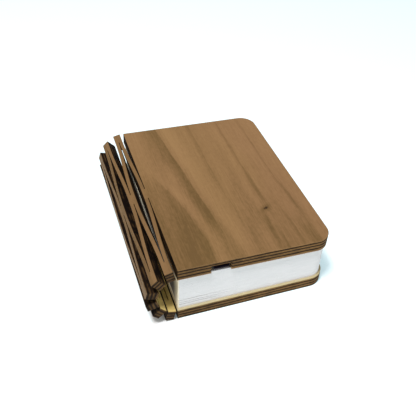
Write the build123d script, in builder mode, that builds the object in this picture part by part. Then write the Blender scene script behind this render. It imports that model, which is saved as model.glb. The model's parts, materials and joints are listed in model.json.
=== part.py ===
"""Folding book lamp, closed: two plywood covers, a lattice spine cut from the same board, and a pleated page block.

+X points to the fore-edge, +Y along the spine to the back and +Z up, in millimetres.
The origin is on the ground, under the middle of the closed book.

Going round the spine from the bottom cover to the top one there are thirteen stations: 0 is the bottom cover,
12 is the top cover, the odd ones are links joined at the spine's two ends and the even ones are links joined at
mid-length. A strip runs from each station to the next and twists on its way.
"""

from build123d import *
import math
import os

os.makedirs("parts", exist_ok=True)

# Covers
COVER_W = 86.0  # from the spine's first bending station to the fore-edge
LENGTH = 122.0  # along the spine
BOARD_T = 6.4  # walnut-faced plywood
PANEL_T = 0.6  # pale panel glued inside each cover
CORNER_R = 9.0  # fore-edge corners
EDGE_R = 0.35  # sanded outer edges
CLOSE_TILT = 1.43  # degrees by which the closed top cover dips towards the fore-edge

# Page block
PAGE_T = 23.0  # between the inner panels, at the spine
PAGE_INSET = 1.2  # covers' overhang at the front, back and fore-edge
PAGE_BACK = 0.9  # from the covers' spine edge to the pages
LEAF_T = 1.4
END_PLEAT_T = 0.75

# Spine lattice
STEPS = 12  # bending lines from cover to cover
SPINE_BULGE = 13.4  # how far the board's middle surface stands out behind the covers
LINK_W = 4.4
BRIDGE_L = 8.0  # length of each bridge along the spine
SLIT = 0.35  # laser cut between two strips of one link
STRIP_EASE = 0.08  # how far a strip's faces lie under its links', so that a twisted edge doesn't stand proud
STRIP_SECTIONS = 7

# Top cover's rout, open inwards, and the charging notch in the front edge
SKIN_T = 1.9  # wood left outside the rout
ROUT_X = 14.0
ROUT_W = 54.0
ROUT_FRONT = 6.0  # from the front edge
ROUT_L = 94.0
ROUT_R = 2.0
NOTCH_X = 23.3
NOTCH_W = 10.6
NOTCH_R = 0.8
NOTCH_MOUTH = 2.2  # how far the notch also cuts the inner panel

# Charging socket and circuit board
SOCKET_W = 9.0
SOCKET_H = 3.2
SOCKET_L = 7.4
SOCKET_WALL = 0.3
SOCKET_SETBACK = 0.8
TONGUE_W = 6.6
TONGUE_T = 0.7
TONGUE_L = 5.0
CIRCUIT_T = 1.0
CIRCUIT_X = 15.0
CIRCUIT_W = 29.0
CIRCUIT_FRONT = 6.5
CIRCUIT_L = 14.0
CIRCUIT_NOSE_W = 9.8  # the part of the circuit board that lies under the socket
CIRCUIT_NOSE_FRONT = 2.6
SENSOR_SIZE = (3.0, 1.6, 1.1)
SENSOR_X = 40.0
SENSOR_FRONT = 13.0

# Battery
CELL_W = 42.0
CELL_L = 66.0
CELL_T = 4.0
CELL_R = 1.5
CELL_X = 41.0
CELL_FRONT = 27.0
PAD_T = 0.4

# Light board beside the spine
LIGHT_X = 6.5
LIGHT_FRONT = 13.0  # from the front edge
LIGHT_W = 6.0
LIGHT_L = 96.0
LIGHT_T = 1.0
LIGHT_RECESS = 2.2
LED_COUNT = 5
LED_END = 8.0  # from the light board's ends to the outer LEDs' middles
LED_SIZE = (2.8, 3.5, 0.7)
DIFFUSER_T = 0.5
LEAD_CHANNEL_L = 4.4

# Leads
LEAD_D = 0.7
LEAD_PITCH = 1.2
LEAD_R = 1.0
LEAD_LAP = 2.0  # soldered length on the circuit board

# Magnets
MAGNET_D = 8.0
MAGNET_H = 3.0
MAGNET_EDGE = 10.0  # from the fore-edge and from the ends
TRIGGER_D = 5.0
TRIGGER_H = 2.0
BORE_CLEARANCE = 0.05
FIT = 0.1  # clearance round glued and laid-in pieces

# Worked out
COVER_T = BOARD_T + PANEL_T
TOTAL_T = 2 * COVER_T + PAGE_T
SPINE_REACH = SPINE_BULGE + BOARD_T / 2
SPINE_X = (SPINE_REACH - COVER_W) / 2  # x of the covers' spine edges
FRONT = -LENGTH / 2
RISE = (TOTAL_T - BOARD_T) / 2
BEND = (180 + CLOSE_TILT) / STEPS
STRIP_W = (LINK_W - SLIT) / 2
STRIP_OFF = (LINK_W + SLIT) / 4  # from a link's middle line to the middle of its strip
INNER = BOARD_T / 2  # from a board's middle surface to its face
ROUT_DEPTH = BOARD_T - SKIN_T


def tilted(origin, degrees):
    """A plane along Y whose x axis dips by this angle towards the fore-edge."""
    a = math.radians(degrees)
    return Plane(origin=origin, x_dir=(math.cos(a), 0, -math.sin(a)), z_dir=(math.sin(a), 0, math.cos(a)))


BOTTOM = tilted((SPINE_X, 0, BOARD_T / 2), 0)
TOP = tilted((SPINE_X, 0, TOTAL_T - BOARD_T / 2), CLOSE_TILT)


def along(turn):
    """Direction from one station to the next in a board that has turned by this many degrees from the bottom cover."""
    a = math.radians(turn)
    return Vector(-math.cos(a), 0, math.sin(a))


def outward(turn):
    """Normal of the board's walnut face at the same turn."""
    a = math.radians(turn)
    return Vector(-math.sin(a), 0, -math.cos(a))


def station(k):
    """Middle of station k on the board's middle surface, which follows half an ellipse."""
    s = math.pi * k / STEPS
    return Vector(SPINE_X - SPINE_BULGE * math.sin(s), 0, TOTAL_T / 2 - RISE * math.cos(s))


def bending_line(k):
    """Where the middle surfaces of stations k - 1 and k meet, with its distance from each of the two."""
    low, high = station(k - 1), station(k)
    t_low, t_high = along((k - 1) * BEND), along(k * BEND)
    gap = high - low
    cross = t_low.X * t_high.Z - t_low.Z * t_high.X
    to_low = (gap.X * t_high.Z - gap.Z * t_high.X) / cross
    to_high = (t_low.X * gap.Z - t_low.Z * gap.X) / cross
    return low + t_low * to_low, to_low, to_high


def board_outline(plane):
    """Cover outline: straight at the spine, round at the two fore-edge corners."""
    with BuildSketch(plane) as outline:
        with Locations((SLIT / 2, 0)):
            Rectangle(COVER_W - SLIT / 2, LENGTH, align=(Align.MIN, Align.CENTER))
        fillet(outline.vertices().group_by(Axis.X)[-1], CORNER_R)
    return outline.sketch


def page_outline(plane):
    """Page outline: the cover's, drawn in by the overhang."""
    with BuildSketch(plane) as outline:
        with Locations((PAGE_BACK, 0)):
            Rectangle(COVER_W - PAGE_INSET - PAGE_BACK, LENGTH - 2 * PAGE_INSET, align=(Align.MIN, Align.CENTER))
        fillet(outline.vertices().group_by(Axis.X)[-1], CORNER_R - PAGE_INSET)
    return outline.sketch


def cover_blank(plane, up):
    """A cover board with its middle bridge to the spine. up is 1 where the walnut face looks up, else -1."""
    with BuildPart() as blank:
        extrude(board_outline(plane.offset(-BOARD_T / 2)), amount=BOARD_T)
        face = blank.faces().sort_by(Axis(plane.origin, plane.z_dir * up))[-1]
        fillet(face.edges().sort_by(Axis(plane.origin, plane.x_dir))[1:], EDGE_R)
        with BuildSketch(plane.offset(-BOARD_T / 2)):
            with Locations((-LINK_W / 2, 0)):
                Rectangle((LINK_W + SLIT) / 2, BRIDGE_L, align=(Align.MIN, Align.CENTER))
        extrude(amount=BOARD_T)
    return blank.part


def keep(piece, name):
    """Names a finished piece and writes it."""
    piece.part.label = name
    export_step(piece.part, f"parts/{name}.step")


# ---------------------------------------------------------------- magnets' places, in a cover's own plane

MAGNET_X = COVER_W - MAGNET_EDGE
MAGNET_Y = LENGTH / 2 - MAGNET_EDGE
TRIGGER_SPOT = (SENSOR_X, FRONT + SENSOR_FRONT)

# ---------------------------------------------------------------- bottom cover

bottom_inside = BOTTOM.offset(INNER)

with BuildPart() as bottom_board:
    add(cover_blank(BOTTOM, -1))
    with Locations(bottom_inside):
        with Locations((MAGNET_X, -MAGNET_Y), (MAGNET_X, MAGNET_Y)):
            Hole(MAGNET_D / 2 + BORE_CLEARANCE, MAGNET_H)
        with Locations(TRIGGER_SPOT):
            Hole(TRIGGER_D / 2 + BORE_CLEARANCE, TRIGGER_H)
keep(bottom_board, "bottom_board")

with BuildPart() as bottom_panel:
    extrude(board_outline(bottom_inside), amount=PANEL_T)
keep(bottom_panel, "bottom_panel")

for end, side in (("front", -1), ("back", 1)):
    with BuildPart() as bottom_magnet:
        with BuildSketch(bottom_inside.offset(-MAGNET_H)):
            with Locations((MAGNET_X, side * MAGNET_Y)):
                Circle(MAGNET_D / 2)
        extrude(amount=MAGNET_H)
    keep(bottom_magnet, f"bottom_magnet_{end}")

with BuildPart() as trigger_magnet:
    with BuildSketch(bottom_inside.offset(-TRIGGER_H)):
        with Locations(TRIGGER_SPOT):
            Circle(TRIGGER_D / 2)
    extrude(amount=TRIGGER_H)
keep(trigger_magnet, "trigger_magnet")

# ---------------------------------------------------------------- top cover

top_inside = TOP.offset(-INNER)
rout_roof = TOP.offset(INNER - SKIN_T)
recess_roof = top_inside.offset(LIGHT_RECESS)
light_end = FRONT + LIGHT_FRONT  # the light board's front end, where its leads are soldered
light_middle = light_end + LIGHT_L / 2
channel_front = light_end - LEAD_CHANNEL_L


def notch_outline(plane, depth):
    """The charging notch, from outside the front edge to this depth."""
    with BuildSketch(plane) as outline:
        with Locations((NOTCH_X, FRONT - FIT)):
            Rectangle(NOTCH_W, depth + FIT, align=(Align.CENTER, Align.MIN))
    return outline.sketch


def is_notch_corner(edge):
    """True for the two upright edges where the notch meets the front edge."""
    return abs(edge.center().Y - FRONT) < FIT and abs(edge.length - ROUT_DEPTH) < FIT


with BuildPart() as top_board:
    add(cover_blank(TOP, 1))
    with BuildSketch(top_inside):
        with Locations((ROUT_X, FRONT + ROUT_FRONT)):
            RectangleRounded(ROUT_W, ROUT_L, ROUT_R, align=(Align.MIN, Align.MIN))
    extrude(amount=ROUT_DEPTH, mode=Mode.SUBTRACT)
    extrude(notch_outline(top_inside, ROUT_FRONT + ROUT_R), amount=ROUT_DEPTH, mode=Mode.SUBTRACT)
    fillet(top_board.edges().filter_by(is_notch_corner), NOTCH_R)
    with BuildSketch(top_inside):
        with Locations((LIGHT_X, channel_front)):
            Rectangle(LIGHT_W + 2 * FIT, LIGHT_L + LEAD_CHANNEL_L + FIT, align=(Align.CENTER, Align.MIN))
        with Locations((LIGHT_X, channel_front)):
            Rectangle(ROUT_X + ROUT_R - LIGHT_X, LEAD_CHANNEL_L, align=(Align.MIN, Align.MIN))
    extrude(amount=LIGHT_RECESS, mode=Mode.SUBTRACT)
    with BuildSketch(top_inside):
        with Locations((MAGNET_X, -MAGNET_Y), (MAGNET_X, MAGNET_Y)):
            Circle(MAGNET_D / 2 + BORE_CLEARANCE)
    extrude(amount=MAGNET_H, mode=Mode.SUBTRACT)
keep(top_board, "top_board")

with BuildPart() as top_panel:
    extrude(board_outline(top_inside), amount=-PANEL_T)
    extrude(notch_outline(top_inside, NOTCH_MOUTH), amount=-PANEL_T, mode=Mode.SUBTRACT)
    with BuildSketch(top_inside):
        with Locations((LIGHT_X, light_middle)):
            Rectangle(LIGHT_W + 2 * FIT, LIGHT_L + 2 * FIT)
    extrude(amount=-PANEL_T, mode=Mode.SUBTRACT)
keep(top_panel, "top_panel")

for end, side in (("front", -1), ("back", 1)):
    with BuildPart() as top_magnet:
        with BuildSketch(top_inside):
            with Locations((MAGNET_X, side * MAGNET_Y)):
                Circle(MAGNET_D / 2)
        extrude(amount=MAGNET_H)
    keep(top_magnet, f"top_magnet_{end}")

# ---------------------------------------------------------------- charging socket and circuit board

socket_middle = INNER - SKIN_T - SOCKET_H / 2  # above the board's middle surface
circuit_top = TOP.offset(INNER - SKIN_T - SOCKET_H)
socket_mouth = Plane(
    origin=TOP.from_local_coords((NOTCH_X, FRONT + SOCKET_SETBACK, socket_middle)),
    x_dir=TOP.x_dir,
    z_dir=(0, -1, 0),
)

with BuildPart() as socket_shell:
    with BuildSketch(socket_mouth):
        SlotOverall(SOCKET_W, SOCKET_H)
    extrude(amount=-SOCKET_L)
    with BuildSketch(socket_mouth):
        SlotOverall(SOCKET_W - 2 * SOCKET_WALL, SOCKET_H - 2 * SOCKET_WALL)
    extrude(amount=-(SOCKET_L - SOCKET_WALL), mode=Mode.SUBTRACT)
keep(socket_shell, "socket_shell")

with BuildPart() as socket_tongue:
    with BuildSketch(socket_mouth.offset(-(SOCKET_L - SOCKET_WALL))):
        Rectangle(TONGUE_W, TONGUE_T)
    extrude(amount=TONGUE_L)
keep(socket_tongue, "socket_tongue")

with BuildPart() as circuit_board:
    with BuildSketch(circuit_top):
        with Locations((CIRCUIT_X, FRONT + CIRCUIT_FRONT)):
            Rectangle(CIRCUIT_W, CIRCUIT_L, align=(Align.MIN, Align.MIN))
        with Locations((NOTCH_X, FRONT + CIRCUIT_NOSE_FRONT)):
            Rectangle(CIRCUIT_NOSE_W, CIRCUIT_FRONT - CIRCUIT_NOSE_FRONT, align=(Align.CENTER, Align.MIN))
    extrude(amount=-CIRCUIT_T)
keep(circuit_board, "circuit_board")

with BuildPart() as magnetic_sensor:
    with BuildSketch(circuit_top):
        with Locations(TRIGGER_SPOT):
            Rectangle(SENSOR_SIZE[0], SENSOR_SIZE[1])
    extrude(amount=SENSOR_SIZE[2])
keep(magnetic_sensor, "magnetic_sensor")

# ---------------------------------------------------------------- battery

with BuildPart() as battery_pad:
    with BuildSketch(rout_roof):
        with Locations((CELL_X, FRONT + CELL_FRONT + CELL_L / 2)):
            Rectangle(CELL_W, CELL_L)
    extrude(amount=-PAD_T)
keep(battery_pad, "battery_pad")

with BuildPart() as battery:
    with BuildSketch(rout_roof.offset(-PAD_T)):
        with Locations((CELL_X, FRONT + CELL_FRONT + CELL_L / 2)):
            RectangleRounded(CELL_W, CELL_L, CELL_R)
    extrude(amount=-CELL_T)
keep(battery, "battery")

# ---------------------------------------------------------------- light board

with BuildPart() as light_board:
    with BuildSketch(recess_roof):
        with Locations((LIGHT_X, light_middle)):
            Rectangle(LIGHT_W, LIGHT_L)
    extrude(amount=-LIGHT_T)
keep(light_board, "light_board")

led_pitch = (LIGHT_L - 2 * LED_END) / (LED_COUNT - 1)
for number in range(LED_COUNT):
    with BuildPart() as led:
        with BuildSketch(recess_roof.offset(-LIGHT_T)):
            with Locations((LIGHT_X, light_end + LED_END + number * led_pitch)):
                Rectangle(LED_SIZE[0], LED_SIZE[1])
        extrude(amount=-LED_SIZE[2])
    keep(led, f"led_{number + 1}")

with BuildPart() as diffuser:
    with BuildSketch(top_inside):
        with Locations((LIGHT_X, light_middle)):
            Rectangle(LIGHT_W + FIT, LIGHT_L + FIT)
    extrude(amount=-DIFFUSER_T)
keep(diffuser, "diffuser")

# ---------------------------------------------------------------- leads, lying on the circuit board


def lead(points):
    """A wire with a round section along points on the circuit board's top, in the top cover's plane."""
    height = INNER - SKIN_T - SOCKET_H + LEAD_D / 2
    corners = [TOP.from_local_coords((x, y, height)) for x, y in points]
    with BuildPart() as wire:
        with BuildLine() as route:
            FilletPolyline(*corners, radius=LEAD_R)
        with BuildSketch(Plane(origin=route.line @ 0, z_dir=route.line % 0)):
            Circle(LEAD_D / 2)
        sweep()
    return wire.part


with BuildPart() as light_leads:
    for side in (-0.5, 0.5):
        across = channel_front + LEAD_CHANNEL_L / 2 - side * LEAD_PITCH
        add(lead([(CIRCUIT_X + LEAD_LAP, across), (LIGHT_X - side * LEAD_PITCH, across),
                  (LIGHT_X - side * LEAD_PITCH, light_end)]))
keep(light_leads, "light_leads")

with BuildPart() as battery_leads:
    cell_end = FRONT + CELL_FRONT
    circuit_end = FRONT + CIRCUIT_FRONT + CIRCUIT_L
    for side in (-0.5, 0.5):
        start_x = CIRCUIT_X + CIRCUIT_W / 2 + side * LEAD_PITCH
        end_x = start_x + LEAD_PITCH
        add(lead([(start_x, circuit_end - LEAD_LAP), (start_x, circuit_end + LEAD_LAP),
                  (end_x, cell_end - LEAD_LAP), (end_x, cell_end)]))
keep(battery_leads, "battery_leads")

# ---------------------------------------------------------------- spine links


def link_plane(k):
    """Middle of link k: x goes round the spine towards the top cover, z out of the walnut face."""
    return Plane(origin=station(k), x_dir=along(k * BEND), z_dir=outward(k * BEND))


for k in range(1, STEPS):
    plane = link_plane(k)
    with BuildPart() as link:
        with BuildSketch(plane.offset(-BOARD_T / 2)):
            if k % 2:
                with Locations((0, -(LENGTH - BRIDGE_L) / 2), (0, (LENGTH - BRIDGE_L) / 2)):
                    Rectangle(LINK_W, BRIDGE_L)
            else:
                Rectangle(LINK_W, BRIDGE_L)
        extrude(amount=BOARD_T)
    keep(link, f"end_link_{(k + 1) // 2}" if k % 2 else f"middle_link_{k // 2}")

# ---------------------------------------------------------------- spine strips

STRIP_START = BRIDGE_L / 2  # |y| where a strip leaves its bridge at mid-length
STRIP_END = LENGTH / 2 - BRIDGE_L  # |y| where it reaches the bridge at the spine's end


def strip_half(k, side):
    """Half of the strip between stations k - 1 and k. Its share of the bend follows a smooth step along Y."""
    pivot, to_low, to_high = bending_line(k)
    near_low = STRIP_OFF - to_low
    near_high = to_high - STRIP_OFF
    with BuildPart() as half:
        for number in range(STRIP_SECTIONS):
            u = number / (STRIP_SECTIONS - 1)
            step = u * u * (3 - 2 * u)
            share = step if k % 2 else 1 - step  # 0 at the lower station, 1 at the higher one
            turn = (k - 1 + share) * BEND
            middle = pivot + along(turn) * (near_low + (near_high - near_low) * share)
            y = side * (STRIP_START + (STRIP_END - STRIP_START) * u)
            with BuildSketch(Plane(origin=(middle.X, y, middle.Z), x_dir=along(turn), z_dir=(0, 1, 0))):
                Rectangle(STRIP_W, BOARD_T - 2 * STRIP_EASE)
        loft()
    return half.part


for k in range(1, STEPS + 1):
    with BuildPart() as strip:
        add(strip_half(k, -1))
        add(strip_half(k, 1))
    keep(strip, f"strip_{k}")

# ---------------------------------------------------------------- page block


def page_plane(height, degrees):
    """Plane of a page that leaves the spine at this height and dips by this angle."""
    return tilted((SPINE_X, 0, height), degrees)


with BuildPart() as bottom_end_pleat:
    extrude(page_outline(bottom_inside.offset(PANEL_T)), amount=END_PLEAT_T)
keep(bottom_end_pleat, "bottom_end_pleat")

for number in range(1, STEPS):
    share = number / STEPS
    plane = page_plane(COVER_T + PAGE_T * share, CLOSE_TILT * share)
    with BuildPart() as leaf:
        extrude(page_outline(plane.offset(-LEAF_T / 2)), amount=LEAF_T)
    keep(leaf, f"leaf_{number}")

with BuildPart() as top_end_pleat:
    extrude(page_outline(top_inside.offset(-PANEL_T)), amount=-END_PLEAT_T)
keep(top_end_pleat, "top_end_pleat")
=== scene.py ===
"""Folding book lamp, closed, in walnut-faced plywood with a white pleated page block.

The frame holds the covers and everything inside them. Here the spine's links and strips and the folded
page sheet are modelled as surfaces, every piece gets its finish, and the lamp stands on a white table in
soft light. Lengths are in metres. +X points to the fore-edge, +Y along the spine to the back, +Z up.
"""

import json
import math

import bpy
import numpy as np
from mathutils import Matrix, Vector


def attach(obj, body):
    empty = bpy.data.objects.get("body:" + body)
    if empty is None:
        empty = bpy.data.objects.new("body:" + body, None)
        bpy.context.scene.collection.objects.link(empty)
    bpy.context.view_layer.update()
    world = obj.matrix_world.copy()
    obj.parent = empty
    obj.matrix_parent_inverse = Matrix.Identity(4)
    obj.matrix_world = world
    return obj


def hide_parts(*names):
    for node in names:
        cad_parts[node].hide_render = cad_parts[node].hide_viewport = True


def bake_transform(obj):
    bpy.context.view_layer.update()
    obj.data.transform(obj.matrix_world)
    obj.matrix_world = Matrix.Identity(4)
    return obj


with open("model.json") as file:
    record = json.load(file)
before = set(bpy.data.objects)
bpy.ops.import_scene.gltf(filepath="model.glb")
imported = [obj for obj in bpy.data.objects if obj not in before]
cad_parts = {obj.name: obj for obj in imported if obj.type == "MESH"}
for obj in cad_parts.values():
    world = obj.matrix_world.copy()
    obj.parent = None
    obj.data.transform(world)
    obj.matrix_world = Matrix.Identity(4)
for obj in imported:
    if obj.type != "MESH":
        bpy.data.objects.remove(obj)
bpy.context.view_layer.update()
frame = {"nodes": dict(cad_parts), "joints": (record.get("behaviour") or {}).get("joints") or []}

MM = 0.001

# Covers
COVER_W = 86 * MM
LENGTH = 122 * MM
BOARD_T = 6.4 * MM
PANEL_T = 0.6 * MM
CORNER_R = 9 * MM
CLOSE_TILT = math.radians(1.43)
COVER_T = BOARD_T + PANEL_T
TOTAL_T = 37 * MM
SPINE_X = -34.7 * MM

# Spine lattice
STEPS = 12
SPINE_BULGE = 13.4 * MM
LINK_W = 4.4 * MM
BRIDGE_L = 8 * MM
SLIT = 0.35 * MM
EASE = 0.12 * MM  # sanded corners of links and strips
STRIP_EASE = 0.08 * MM
LINK_RINGS = 5
STRIP_RINGS = 29
CUT_SIDES = (0, 0, 1, 0, 0, 0, 1, 0)  # 1 for those of a bar's eight sides that are a slit's walls
CUT_END = 0.5  # the same for its ends
RISE = (TOTAL_T - BOARD_T) / 2
BEND = (math.pi + CLOSE_TILT) / STEPS
STRIP_W = (LINK_W - SLIT) / 2
STRIP_OFF = (LINK_W + SLIT) / 4
STATION_PITCH = STRIP_W + SLIT  # from station to station in the flat board

# Page sheet: 48 legs that open, and one glued to each cover
PAGE_T = TOTAL_T - 2 * COVER_T
PAGE_INSET = 1.2 * MM
PAGE_BACK = 0.9 * MM
PAGE_END = COVER_W - PAGE_INSET
LEGS = 4 * STEPS + 2
LEG_PITCH = PAGE_T / LEGS
SHEET_T = LEG_PITCH - 0.02 * MM
# How far a leg's bend has gone at the spine and at the fore-edge, for the four legs of each interval
OPENING = ((0.0, 0.326), (0.5, 0.326), (0.5, 0.674), (1.0, 0.674))
TRIM = 0.03 * MM  # off each end of a leg on average, from none to twice this
TRIM_TURN = 2.4  # radians from leg to leg in the sine wave that it follows
SHORT_LEGS = (5, 8, 12)  # cut short at the spine, so that they show as lines in the front
SHORT_BY = 0.45 * MM
SHORT_REACH = 40 * MM
LEG_STEPS = 18
CORNER_STEPS = 10
FOLD_STEPS = 7
SHEET_COLUMNS = 9

# Board coordinates, in millimetres: from the bottom cover's spine edge, along Y, and out of the board
BOARD_MM = BOARD_T / MM
TOP_EDGE = STEPS * STATION_PITCH / MM  # the top cover's spine edge
TO_MM = (1 / MM, 1 / MM, 1 / MM)


# ---------------------------------------------------------------- meshes


def smooth(u):
    """Smooth step from 0 to 1: 3u^2 - 2u^3."""
    return u * u * (3 - 2 * u)


def new_piece(name, points, faces, material):
    """An object from an array of points and a list of faces, in the frame."""
    mesh = bpy.data.meshes.new(name)
    mesh.from_pydata(np.asarray(points, float).tolist(), [], faces)
    mesh.update()
    piece = bpy.data.objects.new(name, mesh)
    bpy.context.scene.collection.objects.link(piece)
    mesh.materials.append(material)
    return piece


def store(piece, name, values, domain="POINT"):
    """Keeps one number or vector per point or face, for the materials to read."""
    values = np.asarray(values, np.float32)
    kind, key = ("FLOAT_VECTOR", "vector") if values.ndim == 2 else ("FLOAT", "value")
    attribute = piece.data.attributes.new(name, kind, domain)
    attribute.data.foreach_set(key, values.ravel())


def grid_faces(rows, columns, closed=False):
    """Quads between neighbouring rows and columns of a grid stored row by row.

    closed joins the last column to the first.
    """
    last = columns if closed else columns - 1
    i, j = np.meshgrid(np.arange(rows - 1), np.arange(last), indexing="ij")
    k = (j + 1) % columns
    quads = [i * columns + j, i * columns + k, (i + 1) * columns + k, (i + 1) * columns + j]
    return np.stack(quads, -1).reshape(-1, 4).tolist()


def section(width, height, ease):
    """Corners of a rectangle with its corners cut off by ease, going round: across, and out of the board."""
    w, h = width / 2, height / 2
    return np.array([(ease - w, h), (w - ease, h), (w, h - ease), (w, ease - h),
                     (w - ease, -h), (ease - w, -h), (-w, ease - h), (-w, h - ease)])


def across_board(turn):
    """Direction from one station to the next, for boards turned by these angles from the bottom cover."""
    return np.stack([-np.cos(turn), np.zeros_like(turn), np.sin(turn)], -1)


def out_of_board(turn):
    """Direction out of the walnut face, for boards turned by these angles from the bottom cover."""
    return np.stack([-np.sin(turn), np.zeros_like(turn), -np.cos(turn)], -1)


def lattice_bar(ys, middles, turns, width, heights, flat_s):
    """A bar of the lattice: an eased rectangle carried along Y.

    Ring i stands at ys[i], is turned by turns[i] about Y and is heights[i] thick. A point on it is
    middles[i], plus its place across times the direction across, plus its height times the direction out of
    the board. Its board coordinates are flat_s plus its place across, y, and its height at full thickness.
    """
    shape = section(width, BOARD_T, EASE)
    across, out = shape[:, 0], shape[:, 1]
    lift = out * (heights / BOARD_T)[:, None]
    points = (middles[:, None, :] + across[:, None] * across_board(turns)[:, None, :]
              + lift[:, :, None] * out_of_board(turns)[:, None, :])
    points[:, :, 1] = ys[:, None]
    by_side = (flat_s + across, out, width / 2 - abs(across))
    s, height, edge = (np.broadcast_to(row, lift.shape) for row in by_side)
    board = np.stack([s, points[:, :, 1], height], -1)
    rings, sides = lift.shape
    faces = grid_faces(rings, sides, closed=True)
    first = list(range(sides))
    last = list(range(sides * (rings - 1), sides * rings))
    if ys[-1] > ys[0]:
        faces = [face[::-1] for face in faces]
        last.reverse()
    else:
        first.reverse()
    cut = CUT_SIDES * (rings - 1) + (CUT_END, CUT_END)
    return points.reshape(-1, 3), faces + [first, last], board.reshape(-1, 3), edge.reshape(-1), cut


def lattice_piece(name, bars, material):
    """A piece of the spine: its bars in one mesh, with what the plywood's material reads."""
    points, faces, board, edge, cut = zip(*bars)
    starts = np.cumsum([0] + [len(p) for p in points])
    joined = [(np.array(face) + start).tolist() for start, bar in zip(starts, faces) for face in bar]
    piece = new_piece(name, np.concatenate(points), joined, material)
    store(piece, "board", np.concatenate(board) / MM)
    store(piece, "edge", np.concatenate(edge) / MM)
    store(piece, "cut", np.concatenate(cut), "FACE")
    return piece


# ---------------------------------------------------------------- spine


def station(k):
    """Middle of station k. The board's middle surface follows half an ellipse from cover to cover.

    It lies the bulge times sin s behind the covers' edges, and the rise times cos s under the middle height.
    """
    s = math.pi * k / STEPS
    return np.array([SPINE_X - SPINE_BULGE * math.sin(s), 0, TOTAL_T / 2 - RISE * math.cos(s)])


def body_of_station(k):
    """The body that carries station k: a cover at either end, and a link of the spine between."""
    return "bottom_cover" if k == 0 else "top_cover" if k == STEPS else f"spine_{k}"


def link_bar(k, y_from, y_to):
    """Straight bar of link k between two places along Y."""
    ys = np.linspace(y_from, y_to, LINK_RINGS)
    middles = np.tile(station(k), (LINK_RINGS, 1))
    turns = np.full(LINK_RINGS, k * BEND)
    return lattice_bar(ys, middles, turns, LINK_W, np.full(LINK_RINGS, BOARD_T), k * STATION_PITCH)


def strip_bar(k, side):
    """Half of strip k: a bar whose share of the bend between its two stations is a smooth step along Y.

    Its distance from the bending line goes with that share, from what it is at one station to the other's.
    """
    pivot = np.array(frame["joints"][k - 1]["pos_m"])
    near_low = STRIP_OFF - (pivot - station(k - 1)) @ across_board((k - 1) * BEND)
    near_high = (station(k) - pivot) @ across_board(k * BEND) - STRIP_OFF
    u = np.linspace(0, 1, STRIP_RINGS)
    share = smooth(u) if k % 2 else 1 - smooth(u)
    turns = (k - 1 + share) * BEND
    middles = pivot + across_board(turns) * (near_low + (near_high - near_low) * share)[:, None]
    ys = side * (BRIDGE_L / 2 + (LENGTH / 2 - 1.5 * BRIDGE_L) * u)
    heights = BOARD_T - 2 * STRIP_EASE * np.sin(np.pi * u)
    return lattice_bar(ys, middles, turns, STRIP_W, heights, (k - 0.5) * STATION_PITCH)


def build_spine(material):
    """Links ride on their own bodies. Each half of a strip bends between the two stations that it joins."""
    end = LENGTH / 2
    for k in range(1, STEPS):
        if k % 2:
            node_name = f"end_link_{(k + 1) // 2}"
            bars = [link_bar(k, -end, BRIDGE_L - end), link_bar(k, end - BRIDGE_L, end)]
        else:
            node_name = f"middle_link_{k // 2}"
            bars = [link_bar(k, -BRIDGE_L / 2, BRIDGE_L / 2)]
        piece = lattice_piece(f"wood_{node_name}", bars, material)
        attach(piece, body_of_station(k))
        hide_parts(node_name)
    for k in range(1, STEPS + 1):
        for side, word in ((-1, "front"), (1, "back")):
            piece = lattice_piece(f"wood_strip_{k}_{word}", [strip_bar(k, side)], material)
            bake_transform(piece)
            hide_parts(f"strip_{k}")


# ---------------------------------------------------------------- page sheet


def page_points(across, height, v, trim):
    """A point of the page block, by its place across, its height, and v, from -1 in front to 1 behind.

    y is v times half the page's length, less the trim and what the rounded fore-edge corners take, which is
    r - sqrt(r^2 - d^2). The page's tilt grows with the height from none to the top cover's.
    """
    r = CORNER_R - PAGE_INSET
    deep = np.clip(across - (PAGE_END - r), 0, r)
    half = LENGTH / 2 - PAGE_INSET - trim - r + np.sqrt(r * r - deep * deep)
    tilt = CLOSE_TILT * height / PAGE_T
    x = SPINE_X + across * np.cos(tilt)
    z = COVER_T + height - across * np.sin(tilt)
    return np.stack(np.broadcast_arrays(x, v * half, z), -1)


def leg_path(i):
    """Leg i of the sheet from fold to fold, as places across and heights.

    Even legs run to the spine and odd ones to the fore-edge. Each ends in a half circle of half a pitch's
    radius, which brings it to the next leg. The last leg has no fold.
    """
    r = CORNER_R - PAGE_INSET
    fold = LEG_PITCH / 2
    middle = PAGE_END - r
    straight = np.linspace(PAGE_BACK + fold, middle, LEG_STEPS, endpoint=False)
    last = math.asin((r - fold) / r)
    out = np.concatenate([straight, middle + r * np.sin(np.linspace(0, last, CORNER_STEPS))])
    turn = np.linspace(0, math.pi, FOLD_STEPS)[1:]
    if i % 2:
        across = np.concatenate([out, out[-1] + fold * np.sin(turn)])
    else:
        across = np.concatenate([out[::-1], out[0] - fold * np.sin(turn)])
    height = np.concatenate([np.zeros(len(out)), fold * (1 - np.cos(turn))]) + (i + 0.5) * LEG_PITCH
    if i == LEGS - 1:
        return across[: len(out)], height[: len(out)]
    return across, height


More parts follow.
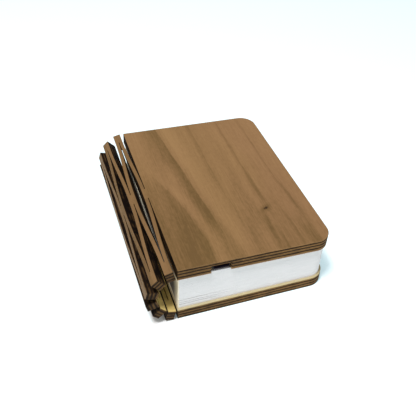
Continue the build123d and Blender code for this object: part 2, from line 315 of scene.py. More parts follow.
def page_leg(i, material):
    """Leg i of the sheet with its fold.

    Glued legs ride on their covers, and the others are left where they are drawn. What is cut off a short
    leg is most at the spine and fades out as a smooth step.
    """
    across, height = leg_path(i)
    v = np.linspace(-1, 1, SHEET_COLUMNS)
    trim = TRIM * (1 + math.sin(TRIM_TURN * i))
    short = (SHORT_BY if i in SHORT_LEGS else 0) * smooth(1 - np.clip(across / SHORT_REACH, 0, 1))
    points = page_points(across[:, None], height[:, None], v[None, :], trim + short[:, None])
    faces = grid_faces(len(across), len(v))
    piece = new_piece(f"page_leg_{i}", points.reshape(-1, 3), faces, material)
    store(piece, "across", np.repeat(across / MM, len(v)))
    wall = piece.modifiers.new("sheet", "SOLIDIFY")
    wall.thickness = SHEET_T
    wall.offset = 0
    wall.use_even_offset = False
    if i in (0, LEGS - 1):
        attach(piece, "top_cover" if i else "bottom_cover")
        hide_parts("top_end_pleat" if i else "bottom_end_pleat")
        return
    k, j = divmod(i - 1, len(OPENING))
    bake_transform(piece)
    leaf = min(max(k + j // 2, 1), STEPS - 1)
    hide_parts(f"leaf_{leaf}")


# ---------------------------------------------------------------- shader nodes


FLOAT, VECTOR, COLOUR = "NodeSocketFloat", "NodeSocketVector", "NodeSocketColor"


def node(tree, kind, inputs=(), **settings):
    """A shader node. inputs pairs an input's number or name with a socket to link or a value to set."""
    made = tree.nodes.new(kind)
    for key, value in settings.items():
        setattr(made, key, value)
    for key, value in dict(inputs).items():
        if isinstance(value, bpy.types.NodeSocket):
            tree.links.new(value, made.inputs[key])
        else:
            made.inputs[key].default_value = value
    return made


def calc(tree, operation, *values):
    """The result of one calculation on one to three values."""
    return node(tree, "ShaderNodeMath", enumerate(values), operation=operation).outputs[0]


def plus(tree, a, b):
    """a plus b."""
    return calc(tree, "ADD", a, b)


def minus(tree, a, b):
    """a less b."""
    return calc(tree, "SUBTRACT", a, b)


def times(tree, a, b):
    """a times b."""
    return calc(tree, "MULTIPLY", a, b)


def times_plus(tree, a, b, c):
    """a times b, plus c."""
    return calc(tree, "MULTIPLY_ADD", a, b, c)


def swung(tree, cloud, reach, base):
    """base, moved to either side by a noise's distance from its middle, 0.5, times reach."""
    return times_plus(tree, minus(tree, cloud, 0.5), reach, base)


def vector(tree, x, y, z):
    """A vector from its three parts."""
    return node(tree, "ShaderNodeCombineXYZ", {0: x, 1: y, 2: z}).outputs[0]


def parts(tree, value):
    """The three parts of a vector."""
    return tuple(node(tree, "ShaderNodeSeparateXYZ", {0: value}).outputs)


def calc_vector(tree, operation, a, b):
    """The result of one calculation on two vectors."""
    return node(tree, "ShaderNodeVectorMath", {0: a, 1: b}, operation=operation).outputs[0]


def scaled(tree, value, scale):
    """A vector times a scale of its own in each direction."""
    return calc_vector(tree, "MULTIPLY", value, scale)


def turned(tree, value, angle):
    """A vector turned about Y."""
    inputs = {"Vector": value, "Angle": angle}
    return node(tree, "ShaderNodeVectorRotate", inputs, rotation_type="Y_AXIS").outputs[0]


def object_place(tree):
    """The place on the piece, in metres."""
    return node(tree, "ShaderNodeTexCoord").outputs["Object"]


def object_normal(tree):
    """The direction that the surface faces."""
    return node(tree, "ShaderNodeTexCoord").outputs["Normal"]


def noise(tree, place, scale, detail, rough):
    """A cloudy pattern from 0 to 1, with its middle at 0.5."""
    inputs = {"Vector": place, "Scale": scale, "Detail": detail, "Roughness": rough}
    return node(tree, "ShaderNodeTexNoise", inputs).outputs[0]


def streaks(tree, place, stretch, detail, rough):
    """A cloudy pattern on a place that is stretched first, which draws it out into streaks."""
    return noise(tree, scaled(tree, place, stretch), 1.0, detail, rough)


def between(tree, value, low, high, to_low=0.0, to_high=1.0):
    """Smooth step of value from low to high."""
    inputs = {0: value, 1: low, 2: high, 3: to_low, 4: to_high}
    return node(tree, "ShaderNodeMapRange", inputs, interpolation_type="SMOOTHSTEP").outputs[0]


def mixed(tree, share, a, b, blend="MIX"):
    """Colour a with this share of colour b."""
    made = node(tree, "ShaderNodeMix", {0: share, 6: a, 7: b}, data_type="RGBA", blend_type=blend)
    return made.outputs[2]


def ramp(tree, value, stops):
    """Colours along a value. stops are (place, colour), in order."""
    made = node(tree, "ShaderNodeValToRGB", {0: value})
    elements = made.color_ramp.elements
    for element, (place, shade) in zip(elements, (stops[0], stops[-1])):
        element.position = place
        element.color = shade
    for place, shade in stops[1:-1]:
        elements.new(place).color = shade
    return made.outputs[0]


def new_group(name, inputs, outputs):
    """An empty node group with named sockets, and what it is given, by name."""
    tree = bpy.data.node_groups.new(name, "ShaderNodeTree")
    for word, kind in inputs:
        tree.interface.new_socket(word, in_out="INPUT", socket_type=kind)
    for word, kind in outputs:
        tree.interface.new_socket(word, in_out="OUTPUT", socket_type=kind)
    return tree, tree.nodes.new("NodeGroupInput").outputs


def put_out(tree, **values):
    """Links what a group puts out, by name."""
    out = tree.nodes.new("NodeGroupOutput")
    for word, value in values.items():
        tree.links.new(value, out.inputs[word])
    return tree


def placed(tree, group, inputs):
    """A node group placed in a tree."""
    return node(tree, "ShaderNodeGroup", inputs, node_tree=group)


# ---------------------------------------------------------------- colours


def colour(r, g, b):
    """A colour given as it shows on a screen, 0 to 255, turned to light."""
    shares = (r / 255, g / 255, b / 255)
    light = [share / 12.92 if share <= 0.04045 else ((share + 0.055) / 1.055) ** 2.4 for share in shares]
    return (*light, 1.0)


WALNUT_LIGHT = colour(153, 119, 79)
WALNUT_MID = colour(138, 106, 69)
WALNUT_DARK = colour(110, 85, 50)
# Lighter tone of eased corners: partly wear, partly a painted highlight
WALNUT_WORN_AND_LIT = colour(178, 146, 104)
WALNUT_KNOT = colour(58, 40, 26)
ROSY = (0.53, 0.495, 0.57, 1.0)
SINGED = colour(62, 42, 27)
PALE = colour(182, 170, 139)
PALE_SHADE = colour(184, 168, 128)
PALE_EDGE = colour(196, 170, 116)
GOLDEN = colour(240, 208, 114)
PLY_BROWN = colour(142, 106, 63)
PLY_DARK = colour(46, 28, 13)
PLY_RED = colour(124, 84, 54)
SOOT = colour(20, 11, 6)
RECESS_SOOT_AND_SHADE = colour(30, 22, 30)
PAGE_WHITE = colour(224, 220, 219)
PAGE_SHADE = colour(218, 215, 214)
# Warm tone of the folds at the spine: painted warm light
PAGE_PAINTED_WARM_LIGHT = colour(238, 226, 200)
# Dark of the folds between their ends: painted shade
PAGE_PAINTED_SHADE = colour(62, 56, 50)


# ---------------------------------------------------------------- walnut, plies and pale veneer


# The figure of the top cover. Lengths are in millimetres. Middle counts from the spine edge,
# From and To from the cover's middle. A negative strength is a lighter line.
FIGURE_WORDS = ("Middle", "Lean", "Bow", "Fade", "Sharp", "From", "To", "Strength")
TOP_FIGURE = (
    (26.4, -0.100, -0.00006, 7.0, 0.9, -36, 70, 0.75),
    (20.4, -0.080, 0.0, 12.0, 4.0, 18, 70, 0.45),
    (31.5, -0.100, -0.00006, 4.5, 10.0, -55, 70, -0.50),
    (11.3, -0.320, -0.00279, 160.0, 0.9, -70, 14, 0.4),
    (14.6, -0.320, -0.00279, 2.4, 5.0, -70, 6, -0.42),
    (42.0, 0.004, 0.0, 2.4, 0.9, 0, 70, 0.45),
    (40.2, 0.004, 0.0, 1.2, 0.8, 18, 70, 0.25),
    (46.0, 0.010, 0.0, 3.0, 5.0, -30, 60, -0.20),
    (61.0, 0.004, 0.0, 2.2, 0.9, 2, 70, 0.40),
    (61.3, 0.004, 0.0, 2.2, 1.2, 24, 40, 0.35),
    (61.8, 0.004, 0.0, 3.6, 1.4, -26, 8, 0.62),
    (57.5, 0.004, 0.0, 4.0, 2.5, -30, 50, -0.28),
    (59.8, 0.060, 0.0, 2.8, 2.0, -56, -34, 0.50),
    (75.6, -0.004, 0.0, 1.6, 1.0, -4, 58, 0.42),
    (75.8, -0.070, 0.0, 2.0, 1.4, -36, -8, 0.50),
    (76.6, -0.010, 0.0, 7.0, 4.0, -75, -44, 0.6),
    (60.0, -0.010, 0.0, 3.0, 1.6, -75, -50, 0.45),
    (52.0, -0.010, 0.0, 6.0, 5.0, -75, -44, -0.30),
    (68.5, -0.015, 0.0, 2.4, 1.0, -60, -34, 0.25),
)
FIGURE_SHARE = 0.5
LINE_END = 12.0  # over which a growth line comes and goes at its ends
TOP_BEGINS = (-1.0, 0.5)  # where the top cover's own figure sets in, from its spine edge

KNOT = (59.9, -29.0)  # from the spine edge, and from the cover's middle
KNOT_LEAN = 0.7
KNOT_STRETCH = (1.3, 1.1)
# From and to which distance its eye and its shade fade, and what they add to the tone there
KNOT_EYE = (0.1, 1.6, 0.3, 0.0)
KNOT_HALO = (0.8, 4.5, 0.22, 0.0)

RING_PITCH = 11.0  # of the plain growth rings
RING_DARKENS = (0.1, 0.86)  # shares of the pitch
RING_LIGHTENS = (0.88, 0.98)
RINGS_ON_TOP = 0.2  # share of them that shows on the top cover, under its own figure
SWAY = 5.0  # how far the growth rings wander
RIPPLE = 2.2  # how far the grain wanders

# Cloudy patterns on the walnut face: how fine they are across and along the grain, in steps a millimetre,
# which layer of the noise they take, and the noise's detail and roughness
SWAY_PATTERN = ((0.03, 0.022, 1), 2.0, 0.5)
RIPPLE_PATTERN = ((0.25, 0.05, 1), 3.0, 0.5)
BROAD_PATTERN = ((0.07, 0.011, 1), 2.0, 0.5)
FINE_PATTERN = ((1.5, 0.05, 3.0), 3.0, 0.6)
THREAD_PATTERN = ((6.0, 0.18, 7.0), 2.0, 0.6)
PORE_PATTERN = ((5.0, 0.5, 11.0), 1.0, 0.5)
PORES_ABOVE = (0.66, 0.78)
MOTTLE_PATTERN = ((0.55, 0.3, 1), 3.0, 0.6)
HUE_PATTERN = ((0.035, 0.012, 1), 1.0, 0.5)
HUE_SPAN = (0.35, 0.65)

# How strongly each pattern moves the walnut's tone, from 0, light, to 1, darkest
MEAN_TONE = 0.38
BROAD_TONE = 0.4
RING_TONE = 0.22
FINE_TONE = 0.55
THREAD_TONE = 0.22
PORE_TONE = 0.26
MOTTLE_TONE = 0.4
DARKEST = 0.82  # without the knot
PAINTED_SHADE_FRONT_TO_BACK = (-58.0, 58.0, 0.16, -0.14)  # painted shade, darker at the front: from and to which place on the top cover, and the tones there
TO_FORE_EDGE = (44.0, 88.0)
# Painted light and shade: lighter towards the fore-edge, darker towards the spine, as tones over TO_FORE_EDGE
FORE_EDGE_PAINTED_LIGHT = (0.0, -0.12)
WALNUT_TONES = ((0.0, WALNUT_LIGHT), (0.4, WALNUT_MID), (0.8, WALNUT_DARK), (1.0, WALNUT_KNOT))
ROSY_CLOUDS = 0.3
ROSY_FORE_EDGE = 0.4
WALNUT_ROUGHNESS = 0.46
FINE_ROUGHNESS = 0.16
THREAD_RELIEF = 0.35


def growth_line_group():
    """One growth line of the walnut: sharp on its fore-edge side and fading towards the spine.

    Its middle runs at Middle + Lean y + Bow y^2, and it shows from From to To along the grain.
    """
    words = ("Across", "Along") + FIGURE_WORDS
    tree, given = new_group("Growth line", [(word, FLOAT) for word in words], [("Value", FLOAT)])
    y = given["Along"]
    bow = times(tree, times(tree, y, y), given["Bow"])
    middle = plus(tree, times_plus(tree, y, given["Lean"], given["Middle"]), bow)
    off = minus(tree, given["Across"], middle)
    spine_side = between(tree, calc(tree, "DIVIDE", off, given["Fade"]), -1.0, 0.0)
    edge_side = between(tree, calc(tree, "DIVIDE", off, given["Sharp"]), 0.0, 1.0, 1.0, 0.0)
    front_end = between(tree, minus(tree, y, given["From"]), -LINE_END, LINE_END)
    back_end = between(tree, minus(tree, given["To"], y), -LINE_END, LINE_END)
    ends = times(tree, times(tree, front_end, back_end), given["Strength"])
    return put_out(tree, Value=times(tree, times(tree, spine_side, edge_side), ends))


def top_figure(tree, line, cover_x, y):
    """All growth lines of the top cover, added up."""
    total = 0.0
    for row in TOP_FIGURE:
        inputs = {"Across": cover_x, "Along": y, **dict(zip(FIGURE_WORDS, row))}
        total = plus(tree, total, placed(tree, line, inputs).outputs[0])
    return total


def plain_rings(tree, swayed, on_top):
    """Growth rings of one pitch, each a slow rise and a quick fall, and faint on the top cover."""
    phase = calc(tree, "FRACT", calc(tree, "DIVIDE", swayed, RING_PITCH))
    rings = times(tree, between(tree, phase, *RING_DARKENS), between(tree, phase, *RING_LIGHTENS, 1.0, 0.0))
    return times(tree, rings, times_plus(tree, on_top, RINGS_ON_TOP - 1.0, 1.0))


def knot_shade(tree, cover_x, y):
    """The knot: a dark eye in a wider shade, by the distance from its middle in a leaning ellipse."""
    along = minus(tree, y, KNOT[1])
    across = times_plus(tree, along, -KNOT_LEAN, minus(tree, cover_x, KNOT[0]))
    across = calc(tree, "DIVIDE", across, KNOT_STRETCH[0])
    along = calc(tree, "DIVIDE", along, KNOT_STRETCH[1])
    off = calc(tree, "SQRT", times_plus(tree, across, across, times(tree, along, along)))
    return plus(tree, between(tree, off, *KNOT_EYE), between(tree, off, *KNOT_HALO))


def walnut_group(line):
    """Walnut face in board coordinates. Its tone, from light to dark, is the sum of all its patterns.

    The top cover gets its own figure and a knot, and painted light and shade make it lighter at the back and
    towards the fore-edge.
    """
    tree, given = new_group("Walnut face", [("Board", VECTOR), ("Figure", FLOAT)],
                            [("Color", COLOUR), ("Roughness", FLOAT), ("Height", FLOAT)])
    s, y, _ = parts(tree, given["Board"])
    flat = vector(tree, s, y, 0.0)
    swayed = swung(tree, streaks(tree, flat, *SWAY_PATTERN), SWAY, s)
    across = swung(tree, streaks(tree, flat, *RIPPLE_PATTERN), RIPPLE, s)
    rippled = vector(tree, across, y, 1.0)
    cover_x = minus(tree, across, TOP_EDGE)
    on_top = between(tree, cover_x, *TOP_BEGINS)
    figure = times(tree, top_figure(tree, line, cover_x, y), on_top)
    fine = streaks(tree, rippled, *FINE_PATTERN)
    thread = streaks(tree, rippled, *THREAD_PATTERN)
    pores = between(tree, streaks(tree, rippled, *PORE_PATTERN), *PORES_ABOVE)
    tone = swung(tree, streaks(tree, flat, *BROAD_PATTERN), BROAD_TONE, MEAN_TONE)
    tone = times_plus(tree, figure, given["Figure"], tone)
    tone = times_plus(tree, plain_rings(tree, swayed, on_top), RING_TONE, tone)
    tone = swung(tree, fine, FINE_TONE, tone)
    tone = swung(tree, thread, THREAD_TONE, tone)
    tone = times_plus(tree, pores, PORE_TONE, tone)
    # Painted shade: darker towards the front of the top cover, and lighter towards the fore-edge
    tone = times_plus(tree, between(tree, y, *PAINTED_SHADE_FRONT_TO_BACK), on_top, tone)
    tone = plus(tree, tone, between(tree, cover_x, *TO_FORE_EDGE, *FORE_EDGE_PAINTED_LIGHT))
    tone = swung(tree, streaks(tree, flat, *MOTTLE_PATTERN), MOTTLE_TONE, tone)
    tone = plus(tree, calc(tree, "MINIMUM", tone, DARKEST), knot_shade(tree, cover_x, y))
    base = ramp(tree, tone, WALNUT_TONES)
    hue = between(tree, streaks(tree, flat, *HUE_PATTERN), *HUE_SPAN)
    rosy = times(tree, between(tree, cover_x, *TO_FORE_EDGE), ROSY_FORE_EDGE)
    base = mixed(tree, times_plus(tree, hue, ROSY_CLOUDS, rosy), base, ROSY, "SOFT_LIGHT")
    rough = times_plus(tree, fine, FINE_ROUGHNESS, WALNUT_ROUGHNESS)
    relief = minus(tree, times(tree, thread, THREAD_RELIEF), pores)
    return put_out(tree, Color=base, Roughness=rough, Height=relief)


# Colours over the board's thickness, from the inside, 0, to the walnut face, 1
PLIES = (
    (0.00, PLY_BROWN), (0.12, PLY_BROWN), (0.17, PLY_DARK), (0.28, PLY_DARK),
    (0.33, PLY_BROWN), (0.45, PLY_BROWN), (0.50, PLY_DARK), (0.60, PLY_DARK),
    (0.65, PLY_BROWN), (0.76, PLY_BROWN), (0.80, PLY_DARK), (0.90, PLY_DARK),
    (0.94, PLY_BROWN), (1.00, WALNUT_MID),
)
PLY_DRIFT = 0.8  # millimetres by which the plies' borders wander
# Cloudy patterns in the wood: how fine they are along the board's three directions, in steps a millimetre,
# and the noise's detail and roughness
DRIFT_PATTERN = ((0.11, 0.11, 0.5), 3.0, 0.5)
FIBRE_PATTERN = ((0.9, 0.9, 9.0), 3.0, 0.65)
FIBRE_SPAN = (0.42, 0.68, 0.0, 0.5)  # from and to which value, and the share of dark brown there
SOOT_PATTERN = ((0.16, 0.16, 0.3), 3.0, 0.6)
SOOT_SPAN = (0.35, 0.7, -0.1, 0.3)  # the same, and what is added to the soot there
PALE_GRAIN = ((1.6, 0.04, 1.0), 4.0, 0.6)
PALE_CLOUDS = ((0.05, 0.02, 0.05), 2.0, 0.5)
PALE_GRAIN_TONE = 0.6
PALE_CLOUD_TONE = 0.5
PALE_TONES = ((0.3, PALE), (0.8, PALE_SHADE))


def ply_edge_group():
    """Laser-cut edge: plies as bands over the board's thickness, browned, with short fibres along the cut."""
    tree, given = new_group("Ply edge", [("Board", VECTOR), ("Char", FLOAT)],
                            [("Color", COLOUR), ("Height", FLOAT)])
    place = given["Board"]
    height = swung(tree, streaks(tree, place, *DRIFT_PATTERN), PLY_DRIFT, parts(tree, place)[2])
    share = calc(tree, "DIVIDE", plus(tree, height, BOARD_MM / 2), BOARD_MM)
    fibres = streaks(tree, place, *FIBRE_PATTERN)
    bands = mixed(tree, between(tree, fibres, *FIBRE_SPAN), ramp(tree, share, PLIES), PLY_DARK)
    burnt = plus(tree, given["Char"], between(tree, streaks(tree, place, *SOOT_PATTERN), *SOOT_SPAN))
    return put_out(tree, Color=mixed(tree, burnt, bands, SOOT), Height=fibres)


def pale_group():
    """Pale inner veneer: straight light grain with a few darker lines."""
    tree, given = new_group("Pale veneer", [("Board", VECTOR)], [("Color", COLOUR), ("Height", FLOAT)])
    grain = streaks(tree, given["Board"], *PALE_GRAIN)
    clouds = streaks(tree, given["Board"], *PALE_CLOUDS)
    tone = times_plus(tree, clouds, PALE_CLOUD_TONE, times(tree, grain, PALE_GRAIN_TONE))
    return put_out(tree, Color=ramp(tree, tone, PALE_TONES), Height=grain)


# ---------------------------------------------------------------- materials


def new_material(name):
    """A material with its Principled shader."""
    material = bpy.data.materials.new(name)
    material.use_nodes = True
    return material, material.node_tree, material.node_tree.nodes["Principled BSDF"]


def bump(tree, shader, height, distance):
    """Feeds a height, with the size of its relief in metres, to the shader's normal."""
    made = node(tree, "ShaderNodeBump", {"Height": height, "Distance": distance})
    tree.links.new(made.outputs[0], shader.inputs["Normal"])


IS_CUT = (0.1, 0.4)  # from and to which value of find_cut the plies take over from the skin
IS_OUTSIDE = (0.0, 0.2)  # millimetres over the board's middle surface
GOLDEN_SHARE = 0.6
SINGE = (0.0, 0.3, 0.25, 0.0)  # from and to which distance from a cut, in millimetres, and the shares there
WEAR_AND_HIGHLIGHT_SETS_IN = (0.02, 0.2)  # wear and a painted highlight on eased corners: from and to which value of find_cut
WEAR_AND_HIGHLIGHT_ENDS = (0.3, 0.8, 0.45, 0.0)  # the same, and the shares there
CUT_ROUGHNESS = 0.3  # on top of the skin's
WOOD_SHINE = 0.12
WOOD_RELIEF = 0.04 * MM


def plywood(name, groups, find_board, find_cut, find_edge, find_soot):
    """Walnut-faced plywood: walnut outside, pale inside, and sooty plies on what was cut.

    The find functions say where a point of the piece lies on the board, how far its surface is a cut one,
    how close it is to a cut, and how much soot it carries. Eased corners, partly cut, are lighter: partly
    wear, partly a painted highlight.
    """
    walnut, ply, pale = groups
    material, tree, shader = new_material(name)
    place = find_board(tree)
    cut_at = find_cut(tree)
    is_cut = between(tree, cut_at, *IS_CUT)
    face = placed(tree, walnut, {"Board": place, "Figure": FIGURE_SHARE}).outputs
    side = placed(tree, ply, {"Board": place, "Char": find_soot(tree, cut_at, place)}).outputs
    inner = placed(tree, pale, {"Board": place}).outputs
    outside = between(tree, parts(tree, place)[2], *IS_OUTSIDE)
    skin = mixed(tree, outside, mixed(tree, GOLDEN_SHARE, inner["Color"], GOLDEN), face["Color"])
    skin = mixed(tree, between(tree, find_edge(tree), *SINGE), skin, SINGED)
    # Eased corners lighter: partly wear, partly a painted highlight
    worn = times(tree, between(tree, cut_at, *WEAR_AND_HIGHLIGHT_SETS_IN), between(tree, cut_at, *WEAR_AND_HIGHLIGHT_ENDS))
    skin = mixed(tree, worn, skin, WALNUT_WORN_AND_LIT)
    tree.links.new(mixed(tree, is_cut, skin, side["Color"]), shader.inputs["Base Color"])
    rough = times_plus(tree, is_cut, CUT_ROUGHNESS, face["Roughness"])
    tree.links.new(rough, shader.inputs["Roughness"])
    shader.inputs["Specular IOR Level"].default_value = WOOD_SHINE
    bump(tree, shader, plus(tree, times(tree, face["Height"], outside), side["Height"]), WOOD_RELIEF)
    return material


def read_attribute(name, output):
    """A function that reads a stored attribute in a tree."""
    return lambda tree: node(tree, "ShaderNodeAttribute", attribute_name=name).outputs[output]


def cover_board(turn, offset, spine_edge):
    """Board coordinates on a cover: its place moved to the spine edge, turned flat, in millimetres."""
    def place(tree):
        """The place on the board."""
        moved = calc_vector(tree, "SUBTRACT", object_place(tree), offset)
        size = scaled(tree, turned(tree, moved, turn), TO_MM)
        return calc_vector(tree, "ADD", size, (spine_edge, 0, 0))
    return place


COVER_LEVEL = (0.2, 0.98)  # how level a face is, from upright, 0, and so cut, to flat, 1


def cover_cut(turn):
    """1 where a cover's surface stands upright on the board, from the direction that it faces."""
    def mask(tree):
        """The share of a cut surface."""
        level = calc(tree, "ABSOLUTE", parts(tree, turned(tree, object_normal(tree), turn))[2])
        return between(tree, level, *COVER_LEVEL, 1.0, 0.0)
    return mask


def far_from_edge(tree):
    """A cover's faces are sanded clean, so no place on them counts as close to a cut."""
    return 10.0


LATTICE_SOOT_AND_SHADE = (0.6, 0.9, 0.64, 0.84)  # from a link's end to a slit's wall by find_cut, and the soot there, in the slits partly painted shade


def slit_soot_and_shade(tree, cut_at, place):
    """Soot of the lattice: thick in the slits, where it is partly painted shade, thinner on the links' ends.
    """
    return between(tree, cut_at, *LATTICE_SOOT_AND_SHADE)


# From and to which distance from a cover's spine edge, in millimetres, and the soot there. The first goes
# over into the second. On the spine edge, a slit's wall, the soot is partly painted shade.
SPINE_EDGE_SOOT_AND_SHADE = (0.1, 0.8, 0.74)
OUTER_SOOT = (5.0, 55.0, 0.34, 0.14)


def cover_soot(spine_edge, way):
    """Soot of a cover: thick on its spine edge, a slit's wall too, where it is partly painted shade, and
    thinner towards the fore-edge.
    """
    def soot(tree, cut_at, place):
        """The share of soot, by the distance from the spine edge."""
        off = times(tree, minus(tree, parts(tree, place)[0], spine_edge), way)
        return between(tree, off, *SPINE_EDGE_SOOT_AND_SHADE, between(tree, off, *OUTER_SOOT))
    return soot


# How strongly the folds at the spine differ from the rest of the sheet, from and to a place across in
# millimetres, and how dark their painted shade is, from and to a distance from mid-length
FOLD = (1.0, 1.6, 0.9, 0.0)
FOLD_PAINTED_SHADE = (50 * MM, 58.5 * MM, 0.95, 0.0)
# A painted streak of light on the folds, where their painted shade gives way, seen between the two topmost
# links: its height at mid-length, its rise towards the back, and half its width
STREAK_Z = 13.2 * MM
STREAK_RISE = 0.125
STREAK_HALF = (0.8 * MM, 2.4 * MM)
# Patterns of the sheet, in steps a metre, with their detail and roughness
SHEET_MOTTLE = ((140, 140, 900), 4.0, 0.6)
SHEET_FIBRE = ((1500, 500, 1500), 3.0, 0.7)
SHEET_TONES = ((0.3, PAGE_SHADE), (0.7, PAGE_WHITE))
SHEET_ROUGHNESS = 0.7
SHEET_SHINE = 0.25
SHEET_RELIEF = 0.008 * MM


def page_material():
    """White spun-bonded sheet, matt and faintly mottled.

    Its folds at the spine are warm in tone, a painted warm light, and painted shade darkens them between
    their ends but for a painted streak of light.
    """
    material, tree, shader = new_material("page sheet")
    at = object_place(tree)
    _, y, z = parts(tree, at)
    base = ramp(tree, streaks(tree, at, *SHEET_MOTTLE), SHEET_TONES)
    is_fold = between(tree, read_attribute("across", "Fac")(tree), *FOLD)
    # Painted shade on the folds, darker between their ends, with a painted streak of light left in it
    deep = between(tree, calc(tree, "ABSOLUTE", y), *FOLD_PAINTED_SHADE)
    off = minus(tree, z, times_plus(tree, y, STREAK_RISE, STREAK_Z))
    deep = times(tree, deep, between(tree, calc(tree, "ABSOLUTE", off), *STREAK_HALF))
    fold = mixed(tree, deep, PAGE_PAINTED_WARM_LIGHT, PAGE_PAINTED_SHADE)
    tree.links.new(mixed(tree, is_fold, base, fold), shader.inputs["Base Color"])
    shader.inputs["Roughness"].default_value = SHEET_ROUGHNESS
    shader.inputs["Specular IOR Level"].default_value = SHEET_SHINE
    bump(tree, shader, streaks(tree, at, *SHEET_FIBRE), SHEET_RELIEF)
    return material


PANEL_LEVEL = (0.35, 0.8)  # how level a face is, from upright, 0, and so cut, to flat, 1
NOTCH_BEGINS = (1.0, 1.5)  # millimetres behind the covers' front edge
FACES_FRONT = (-0.95, -0.85)  # how far a face looks to the back, from facing the front
PANEL_EDGE_PATTERN = ((0.5, 0.5, 0.5), 3.0, 0.5)
PANEL_ROUGHNESS = 0.6
PANEL_SHINE = 0.3
PANEL_RELIEF = 0.03 * MM


def panel_material(name, pale, edge_light, edge_dark):
    """Inner panel: pale birch with a cut edge of its own two tones, dark where it lies back in the notch:
    soot and painted shade of the socket's mouth.
    """
    material, tree, shader = new_material(name)
    at = scaled(tree, object_place(tree), TO_MM)
    _, facing_back, facing_up = parts(tree, object_normal(tree))
    is_cut = between(tree, calc(tree, "ABSOLUTE", facing_up), *PANEL_LEVEL, 1.0, 0.0)
    face = placed(tree, pale, {"Board": at}).outputs
    side = ramp(tree, streaks(tree, at, *PANEL_EDGE_PATTERN), ((0.3, edge_light), (0.7, edge_dark)))
    from_front = plus(tree, parts(tree, at)[1], LENGTH / MM / 2)
    faces_front = between(tree, facing_back, *FACES_FRONT, 1.0, 0.0)
    in_notch = times(tree, between(tree, from_front, *NOTCH_BEGINS), faces_front)
    # Recessed edge in the notch: soot and painted shade of the socket's mouth
    side = mixed(tree, in_notch, side, RECESS_SOOT_AND_SHADE)
    tree.links.new(mixed(tree, is_cut, face["Color"], side), shader.inputs["Base Color"])
    shader.inputs["Roughness"].default_value = PANEL_ROUGHNESS
    shader.inputs["Specular IOR Level"].default_value = PANEL_SHINE
    bump(tree, shader, face["Height"], PANEL_RELIEF)
    return material


ROUGHNESS_SWING = 0.14


def plain_material(name, light, dark, roughness, metallic=0.0, grain=900.0, relief=0.01 * MM, shine=0.5):
    """A finish of two close tones with a fine relief, for the pieces inside the covers."""
    material, tree, shader = new_material(name)
    cloud = noise(tree, object_place(tree), grain, 3.0, 0.6)
    tones = ramp(tree, cloud, ((0.35, colour(*dark)), (0.65, colour(*light))))
    tree.links.new(tones, shader.inputs["Base Color"])
    tree.links.new(swung(tree, cloud, ROUGHNESS_SWING, roughness), shader.inputs["Roughness"])
    shader.inputs["Metallic"].default_value = metallic
    shader.inputs["Specular IOR Level"].default_value = shine
    bump(tree, shader, cloud, relief)
    return material


def dress(material, *names):
    """Gives frame nodes their finish."""
    for name in names:
        mesh = frame["nodes"][name].data
        mesh.materials.clear()
        mesh.materials.append(material)


MAGNETS = ("bottom_magnet_front", "bottom_magnet_back", "top_magnet_front", "top_magnet_back",
           "trigger_magnet")
LEDS = ("led_1", "led_2", "led_3", "led_4", "led_5")

# Finishes inside the covers: name, light tone, dark tone, roughness, what else differs, and the pieces
HIDDEN_FINISHES = (
    ("nickel", (205, 206, 208), (190, 190, 193), 0.25, {"metallic": 1.0}, MAGNETS),
    ("cell foil", (196, 198, 202), (176, 178, 184), 0.38,
     {"metallic": 1.0, "grain": 300.0, "relief": 0.04 * MM}, ("battery",)),
    ("foam", (48, 48, 50), (30, 30, 32), 0.9, {"grain": 2500.0, "relief": 0.1 * MM}, ("battery_pad",)),
    ("green solder mask", (18, 46, 32), (12, 34, 24), 0.4, {}, ("circuit_board",)),
    ("white solder mask", (240, 240, 236), (228, 228, 224), 0.4, {}, ("light_board",)),
    # The socket's steel shell is painted dark for the shade in its mouth, with a purple tint, and the black
    # plastic is painted lighter purple as a highlight
    ("dark steel in painted shade", (46, 36, 50), (26, 21, 29), 0.6, {"shine": 0.1}, ("socket_shell",)),
    ("black plastic with painted highlight", (92, 72, 98), (70, 54, 74), 0.55, {}, ("socket_tongue", "magnetic_sensor")),
    ("phosphor", (248, 222, 110), (240, 206, 84), 0.3, {}, LEDS),
    ("opal film", (240, 238, 230), (230, 228, 220), 0.5, {}, ("diffuser",)),
    ("red silicone", (176, 32, 26), (150, 24, 20), 0.45, {}, ("battery_leads", "light_leads")),
)


# ---------------------------------------------------------------- table, light and camera

TABLE_REACH = 3.0
TABLE_Z = -0.1 * MM
TABLE_WHITE = (0.8, 0.8, 0.8, 1)
TABLE_ROUGHNESS = 0.9
TABLE_GLOW = 0.48
GLOW_TINT = (0.58, 0.9, 1.0, 1)
# Glow under the spine, turned down for a painted shadow
GLOW_IN_PAINTED_SHADOW = (0.14, 0.15, 0.14, 1)
# The painted shadow where the spine shades the table: from and to which place along X on either side, and
# along Y at both ends
SHADE_LEFT = (-50.5 * MM, -46.5 * MM)
SHADE_RIGHT = (-36 * MM, -32 * MM)
SHADE_ENDS = (60.5 * MM, 62.5 * MM)
SKY = 0.22
SKY_TINT = (0.95, 0.985, 1.0, 1)
# Name, place, width and power
SOFT_BOXES = (("key", (-0.32, -0.22, 1.1), 0.24, 12.0), ("fill", (0.45, -0.95, 0.5), 0.7, 3.4))
LIGHTS_AIM = (0, 0, 0.02)


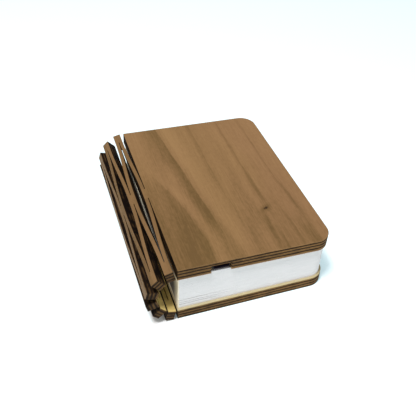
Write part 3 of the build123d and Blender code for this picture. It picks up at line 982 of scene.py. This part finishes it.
def build_table():
    """A white table that glows faintly, to stay white close to the lamp, but less under the spine: a painted
    shadow.
    """
    mesh = bpy.data.meshes.new("table")
    corners = ((-1, -1), (1, -1), (1, 1), (-1, 1))
    mesh.from_pydata([(x * TABLE_REACH, y * TABLE_REACH, TABLE_Z) for x, y in corners], [], [(0, 1, 2, 3)])
    table = bpy.data.objects.new("table", mesh)
    bpy.context.scene.collection.objects.link(table)
    material, tree, shader = new_material("white table")
    shader.inputs["Base Color"].default_value = TABLE_WHITE
    shader.inputs["Roughness"].default_value = TABLE_ROUGHNESS
    x, y, _ = parts(tree, object_place(tree))
    # Painted shadow under the spine: the table's glow is turned down there
    under = times(tree, between(tree, x, *SHADE_LEFT), between(tree, x, *SHADE_RIGHT, 1.0, 0.0))
    under = times(tree, under, between(tree, calc(tree, "ABSOLUTE", y), *SHADE_ENDS, 1.0, 0.0))
    tree.links.new(mixed(tree, under, GLOW_TINT, GLOW_IN_PAINTED_SHADOW), shader.inputs["Emission Color"])
    shader.inputs["Emission Strength"].default_value = TABLE_GLOW
    mesh.materials.append(material)


def soft_box(name, place, size, power):
    """A square area light that looks at the lamp."""
    light = bpy.data.lights.new(name, "AREA")
    light.energy = power
    light.size = size
    lamp = bpy.data.objects.new(name, light)
    lamp.location = place
    lamp.rotation_euler = (Vector(LIGHTS_AIM) - Vector(place)).to_track_quat("-Z", "Y").to_euler()
    bpy.context.scene.collection.objects.link(lamp)


def build_light():
    """Soft light: a pale sky, a key from the upper left and a fill from the front right."""
    world = bpy.data.worlds.new("studio")
    bpy.context.scene.world = world
    world.use_nodes = True
    sky = world.node_tree.nodes["Background"]
    sky.inputs["Color"].default_value = SKY_TINT
    sky.inputs["Strength"].default_value = SKY
    for box in SOFT_BOXES:
        soft_box(*box)


CAMERA_PLACE = (-88.04 * MM, -248.27 * MM, 249.64 * MM)
CAMERA_YAW = math.radians(19.964)
CAMERA_DOWN = math.radians(41.394)
CAMERA_ROLL = math.radians(2.225)
CAMERA_LENS = 51.137  # millimetres
CAMERA_SENSOR = 36  # millimetres wide


def build_camera():
    """The camera where the photograph was taken from: turned to the right by yaw, down and rolled."""
    yaw_sin, yaw_cos = math.sin(CAMERA_YAW), math.cos(CAMERA_YAW)
    down_sin, down_cos = math.sin(CAMERA_DOWN), math.cos(CAMERA_DOWN)
    ahead = Vector((yaw_sin * down_cos, yaw_cos * down_cos, -down_sin))
    level = Vector((yaw_cos, -yaw_sin, 0))
    over = level.cross(ahead)
    right = math.cos(CAMERA_ROLL) * level + math.sin(CAMERA_ROLL) * over
    up = -math.sin(CAMERA_ROLL) * level + math.cos(CAMERA_ROLL) * over
    data = bpy.data.cameras.new("camera")
    data.sensor_width = CAMERA_SENSOR
    data.lens = CAMERA_LENS
    data.clip_start = 10 * MM
    camera = bpy.data.objects.new("camera", data)
    camera.matrix_world = Matrix.Translation(CAMERA_PLACE) @ Matrix((right, up, -ahead)).transposed().to_4x4()
    bpy.context.scene.collection.objects.link(camera)
    bpy.context.scene.camera = camera


# ---------------------------------------------------------------- the lamp

walnut_face = walnut_group(growth_line_group())
ply_edge = ply_edge_group()
pale_veneer = pale_group()
woods = (walnut_face, ply_edge, pale_veneer)

lattice_wood = plywood("lattice plywood", woods, read_attribute("board", "Vector"),
                       read_attribute("cut", "Fac"), read_attribute("edge", "Fac"), slit_soot_and_shade)
build_spine(lattice_wood)

bottom_place = (SPINE_X, 0, BOARD_T / 2)
bottom_wood = plywood("bottom cover plywood", woods, cover_board(math.pi, bottom_place, 0.0),
                      cover_cut(math.pi), far_from_edge, cover_soot(0.0, -1))
dress(bottom_wood, "bottom_board")
top_place = (SPINE_X, 0, TOTAL_T - BOARD_T / 2)
top_wood = plywood("top cover plywood", woods, cover_board(-CLOSE_TILT, top_place, TOP_EDGE),
                   cover_cut(-CLOSE_TILT), far_from_edge, cover_soot(TOP_EDGE, 1))
dress(top_wood, "top_board")
dress(panel_material("bottom panel", pale_veneer, PALE_SHADE, PALE_EDGE), "bottom_panel")
dress(panel_material("top panel", pale_veneer, PLY_RED, PLY_BROWN), "top_panel")

paper = page_material()
for leg in range(LEGS):
    page_leg(leg, paper)

for finish, light_tone, dark_tone, roughness, others, pieces in HIDDEN_FINISHES:
    dress(plain_material(finish, light_tone, dark_tone, roughness, **others), *pieces)

build_table()
build_light()
build_camera()
bpy.context.scene.view_settings.view_transform = "Standard"
